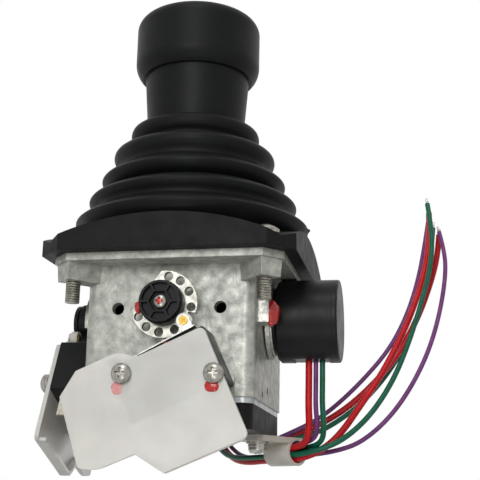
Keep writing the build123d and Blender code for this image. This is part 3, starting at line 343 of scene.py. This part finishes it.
# A white studio: camera, mirror and clear rays see pure white, and this share of it lights the
# object.
lit_share = 0.22
world = bpy.data.worlds.new("white_studio")
bpy.context.scene.world = world
world.use_nodes = True
sky = world.node_tree
sky.nodes.clear()
ray = add(sky, "ShaderNodeLightPath").outputs
direct = add(sky, "ShaderNodeMath", {
    0: ray["Is Camera Ray"], 1: ray["Is Transmission Ray"]}, operation="ADD")
seen = add(sky, "ShaderNodeMath", {
    0: direct.outputs[0], 1: ray["Is Glossy Ray"]}, operation="MAXIMUM")
strength = add(sky, "ShaderNodeMapRange", {
    "Value": seen.outputs[0], "To Min": lit_share, "To Max": 1.0})
white = add(sky, "ShaderNodeBackground", {"Color": (1, 1, 1, 1), "Strength": strength.outputs[0]})
add(sky, "ShaderNodeOutputWorld", {"Surface": white.outputs[0]})

# Leads

# Each lead's diameter and the points of its route, in millimetres, as in the model's source.
lead_routes = {
    "right_red_lead": (2.0, [
        (35.8, 0, -25.7), (35.8, 0, -32), (35.7, 0, -38.5), (35.9, 0.4, -43.6),
        (35.1, 2.6, -48.5), (31.3, 6.1, -50), (25.6, 10.1, -49.9), (17.6, 15.7, -50),
        (14.9, 22.7, -49.9), (16.5, 30, -48.6), (22, 35.2, -46.3), (34.8, 36, -41),
        (44, 36.7, -35.2), (52.6, 37.4, -27.2), (60.4, 38.5, -17.5), (66.3, 39.3, -6.3),
        (70.5, 40.5, 4.8), (73.3, 42, 15.2), (73.9, 43, 22.3),
    ]),
    "right_purple_lead": (1.4, [
        (37.8, 0, -25.7), (37.8, 0, -32), (37.7, 0, -38.5), (38.1, 0.5, -43.4),
        (37.5, 3.5, -47.4), (32.3, 7.5, -49), (26.6, 11.5, -48.9), (19, 16.8, -49),
        (16.7, 22.8, -48.9), (18.1, 29.1, -47.6), (22.8, 33.6, -45), (33.8, 34, -39.9),
        (40.7, 35, -34.5), (48.6, 36, -26.8), (56.9, 37.5, -17), (62.5, 39, -6.3), (66.3, 41, 5.3),
        (68.8, 43, 17.3), (70.6, 45, 28.9),
    ]),
    "right_green_lead": (1.6, [
        (39.7, 0, -25.7), (39.7, 0, -32), (39.6, 0, -38.5), (40.1, 0.7, -44.1), (39.1, 4, -48.8),
        (33.3, 8.9, -50), (27.6, 12.9, -49.9), (20.4, 17.9, -49.9), (18.5, 22.9, -49.7),
        (19.6, 28.3, -48.4), (23.6, 32, -46.6), (33.8, 33.8, -43.8), (40, 35, -40.4),
        (48, 38.2, -34.1), (56.6, 41, -23.9), (63.5, 43.4, -11.8), (68.3, 46, 0.9), (71, 48, 14.3),
        (72, 49, 26.5),
    ]),
    "back_green_lead": (1.6, [
        (0, 35, -25.7), (0, 35, -32), (0.2, 34.8, -38.5), (0.7, 33.3, -44.3), (4, 29.3, -49.6),
        (9.6, 23, -52.4), (21.1, 13.2, -52.3), (27.2, 8.9, -52), (32.6, 5.2, -51.9),
        (41.4, 3.8, -49.7), (47.4, 7, -45.7), (53.6, 10, -39), (59.4, 13.5, -29.3),
        (63.9, 18, -17.6), (67.6, 23, -5.3), (70.7, 28, 6.9), (71.9, 32, 19.4), (70.4, 35.5, 31),
    ]),
    "back_red_lead": (2.0, [
        (0, 37, -25.7), (0, 37, -32), (0.4, 36.8, -38.5), (2, 35.2, -45), (6.2, 30.6, -50.8),
        (12.2, 23.6, -53.6), (22.5, 14.4, -53.1), (28.2, 10.3, -53), (33.5, 6.6, -52.8),
        (40, 6.3, -49.9), (44.7, 8.6, -44.9), (49.3, 12.5, -37.4), (55.2, 15.5, -28.5),
        (60.5, 19, -18), (65.2, 24, -6.4), (68.7, 29.5, 5.6), (70.7, 35, 17.5), (70.8, 40, 29),
    ]),
    "back_purple_lead": (1.4, [
        (0, 39, -25.7), (0, 39, -32), (0.6, 38.7, -38.5), (3, 37.6, -44.6), (8, 32.9, -49.8),
        (13.6, 25.4, -52.2), (23.5, 15.8, -52.2), (29.2, 11.8, -52), (34.5, 8, -52),
        (43, 10, -50.5), (49.8, 12.5, -47.8), (57.6, 14.5, -40.9), (64.1, 18, -31.5),
        (69.7, 22.5, -19.7), (73.4, 27.5, -6.8), (75.6, 32.5, 6.5), (75.4, 35.5, 15.2),
        (73.9, 38, 22),
    ]),
}


def lead_curve(name, diameter, points):
    """A round lead along one smooth curve that has the route's points as its control points. The
    points carry the lead's radius, and the bevel is 1."""
    data = bpy.data.curves.new(name, "CURVE")
    data.dimensions = "3D"
    data.resolution_u = 10
    data.bevel_depth = 1.0
    data.bevel_resolution = 4
    data.use_fill_caps = True
    spline = data.splines.new("NURBS")
    spline.points.add(len(points) - 1)
    for control, place in zip(spline.points, points):
        control.co = (place[0] * MM, place[1] * MM, place[2] * MM, 1.0)
        control.radius = diameter / 2 * MM
    spline.order_u = 3
    spline.use_endpoint_u = True
    curve = bpy.data.objects.new(name, data)
    bpy.context.collection.objects.link(curve)
    return curve


def curve_length(curve):
    """The length of a curve's own line, read from its mesh with no bevel."""
    bevel = curve.data.bevel_depth
    curve.data.bevel_depth = 0.0
    line = bpy.data.meshes.new_from_object(curve)
    curve.data.bevel_depth = bevel
    places = np.zeros(len(line.vertices) * 3)
    line.vertices.foreach_get("co", places)
    bpy.data.meshes.remove(line)
    return float(np.linalg.norm(np.diff(places.reshape(-1, 3), axis=0), axis=1).sum())


def bare_end(name, diameter, points):
    """Seven twisted strands past the insulation, with t from 0 to 1 along them. Round the lead's
    end direction the radius is the core's times a sum: 0.86, plus 0.14 times the absolute cosine
    of half the strands' number times the angle less twist times t. It is a fifth less at the tip."""
    strands, twist, core_share, tip_from = 7, 1.5, 0.30, 0.9
    inside_mm, length_mm = 0.6, 2.6
    last, before = Vector(points[-1]), Vector(points[-2])
    way = (last - before).normalized()
    side = way.cross(Vector((0, 1, 0))).normalized()
    other = way.cross(side)
    t = np.linspace(0, 1, 12)[:, None]
    angle = np.linspace(0, 2 * np.pi, 42, endpoint=False)[None, :]
    ridges = 0.86 + 0.14 * np.abs(np.cos(strands / 2 * (angle - twist * t)))
    radius = core_share * diameter * ridges * np.where(t > tip_from, 0.8, 1.0)
    along = -inside_mm + length_mm * t
    surface = (np.array(last) + along[..., None] * np.array(way)
               + (radius * np.cos(angle))[..., None] * np.array(side)
               + (radius * np.sin(angle))[..., None] * np.array(other)) * MM
    piece = grid_mesh(name, surface, False, True, tinned_copper, cap_low=True, cap_high=True)
    return outward(piece)


def outward(piece):
    """Turns a closed piece's faces outwards."""
    bpy.context.view_layer.objects.active = piece
    piece.select_set(True)
    bpy.ops.object.mode_set(mode="EDIT")
    bpy.ops.mesh.select_all(action="SELECT")
    bpy.ops.mesh.normals_make_consistent(inside=False)
    bpy.ops.object.mode_set(mode="OBJECT")
    piece.select_set(False)
    return piece


for name, (diameter, points) in lead_routes.items():
    colour = name.split("_")[1]
    curve = lead_curve(f"{name}_insulation", diameter, points)
    curve.data.materials.append(insulation[colour])
    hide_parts(name)
    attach(curve, "housing_body")
    end = bare_end(f"{name}_strands", diameter, points)
    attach(end, "housing_body")
    curve_length(curve)

# Bellows

# Sizes in millimetres, from the lowest fold to the highest. A fold is two rounded corners: the
# lower one at its full radius, the upper one leaning in.
ring_r = [35.5, 31.9, 28.4, 25.1, 20.2]
ring_z = [14.6, 21.4, 28.4, 36.0, 43.4]
ring_low = 0.8
ring_high = [0.3, 0.8, 0.7, 1.9, 2.5]
ring_lean = 0.9
fold_depth = 5.4
fold_round = 2.2
valley_drop = 0.3
wall = 1.2
wall_lean = 0.35      # the inside lies this share of the wall lower
foot_z = 9.0
foot_in = 3.0
collar_r = 9.6
collar_drop = 1.2
boot_top = 46.0
split = 2             # the boot is cut in the valley above this fold
points_per_fold = 3


def boot_outline():
    """The outside of the bellows from its foot to its collar, as radius and height: for each fold
    its lower and its upper corner, then the valley halfway to the next one."""
    points = [(ring_r[0] - foot_in, foot_z)]
    for i, (r, z, high) in enumerate(zip(ring_r, ring_z, ring_high)):
        points.append((r, z - ring_low))
        points.append((r - ring_lean, z + high))
        if i + 1 < len(ring_r):
            halfway = (z + ring_z[i + 1]) / 2
            points.append((ring_r[i + 1] - fold_depth / 2, halfway - valley_drop))
    points.append((collar_r + wall, boot_top - collar_drop))
    return points


def boot_wall_profile(first, last):
    """Outside upwards and inside downwards between two points of the outline, one wall apart."""
    outside = rounded(boot_outline()[first:last + 1], fold_round)
    inside = outside.copy()
    inside[:, 0] -= wall
    inside[:, 1] -= wall_lean * wall
    return np.vstack([outside, inside[::-1]])


def add_mould_nub(piece, turn_deg=5.0, height_mm=14.0, size_mm=0.9, lift_mm=0.9):
    """Raises a small round nub on the lowest fold. Each point moves outwards by the lift times e to
    the power of minus the square of its distance from the nub's middle over the nub's size."""
    mesh = piece.data
    places = np.zeros(len(mesh.vertices) * 3)
    mesh.vertices.foreach_get("co", places)
    places = places.reshape(-1, 3)
    turn = np.radians(turn_deg)
    out = np.array([np.cos(turn), np.sin(turn), 0.0])
    middle = out * ring_r[0] * MM + np.array([0, 0, height_mm * MM])
    near = np.exp(-(np.linalg.norm(places - middle, axis=1) / (size_mm * MM)) ** 2)
    mesh.vertices.foreach_set("co", (places + near[:, None] * out * lift_mm * MM).ravel())
    mesh.update()


valley = points_per_fold * split
lower = revolved("boot_lower_folds", boot_wall_profile(0, valley), moulded_rubber)
add_mould_nub(lower)
collar = len(boot_outline()) - 1
upper = revolved("boot_upper_folds", boot_wall_profile(valley, collar), moulded_rubber)
cut_z = boot_outline()[valley][1]
# Each half of the boot has its faces turned outwards and its placing baked into its mesh, and the
# imported boot is hidden.
for piece, low_body, high_body, low_z, high_z in (
        (lower, "housing_body", "gimbal", foot_z + 1, cut_z - 1.5),
        (upper, "gimbal", "lever", cut_z + 1.5, boot_top - 2.5)):
    outward(piece)
    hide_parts("boot")
    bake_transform(piece)

# Locking lacquer

def lacquer(name, body, coat, centre, out, size, seed):
    """A brushed dab of a width, height and thickness: a low dome over an uneven outline, with a rim
    sunk into what it sits on. With t from 0 in the middle to 1 at the rim, a point lies t times the
    outline out, the outline is 1 plus three small sines of 2, 3 and 5 times the angle, and the
    dome's height is the thickness times the root of 1 less t squared."""
    sunk_mm = 0.3
    width, height, thick = size
    rng = np.random.default_rng(seed)
    out = Vector(out).normalized()
    side = Vector((0, 0, 1)).cross(out).normalized()
    up = out.cross(side)
    t = np.sin(np.linspace(0.02, 1, 9) * np.pi / 2)[:, None]
    angle = np.linspace(0, 2 * np.pi, 36, endpoint=False)[None, :]
    outline = 1 + sum(
        a * np.sin(n * angle + phase)
        for n, a, phase in zip((2, 3, 5), rng.uniform(0.02, 0.09, 3), rng.uniform(0, 6.28, 3)))
    x = width / 2 * t * outline * np.cos(angle)
    y = height / 2 * t * outline * np.sin(angle)
    lift = thick * np.sqrt(np.clip(1 - t ** 2, 0, 1)) + np.zeros_like(angle)
    points = (np.array(centre) + x[..., None] * np.array(side) + y[..., None] * np.array(up)
              + lift[..., None] * np.array(out)) * MM
    rim = points[-1:] - np.array(out) * sunk_mm * MM
    surface = np.vstack([points, rim])
    piece = grid_mesh(name, surface, False, True, coat, cap_low=True, cap_high=True)
    outward(piece)
    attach(piece, body)


for name, body, coat, centre, out, size, seed in (
        ("lacquer_front_hub_screw", "side_yoke_body", locking_lacquer,
         (0, -33.9, -14.3), (0, -1, 0), (1.9, 1.9, 0.35), 3),
        ("lacquer_front_hub_rim", "side_yoke_body", locking_lacquer,
         (-7.0, -30.0, -15.2), (-0.8, -0.6, -0.1), (3.0, 3.6, 0.8), 5),
        ("lacquer_front_cover_right", "housing_body", locking_lacquer,
         (15.4, -36.3, -37.2), (0, -1, 0), (3.9, 3.1, 0.5), 22),
        ("lacquer_front_cover_left", "housing_body", wiped_lacquer,
         (-9.8, -36.3, -37.6), (0, -1, 0), (3.2, 3.4, 0.12), 9),
        ("lacquer_right_clamp", "housing_body", locking_lacquer,
         (28.0, -17.0, -14.9), (1, -0.9, 0), (4.2, 7.2, 1.2), 11),
):
    lacquer(name, body, coat, centre, out, size, seed)
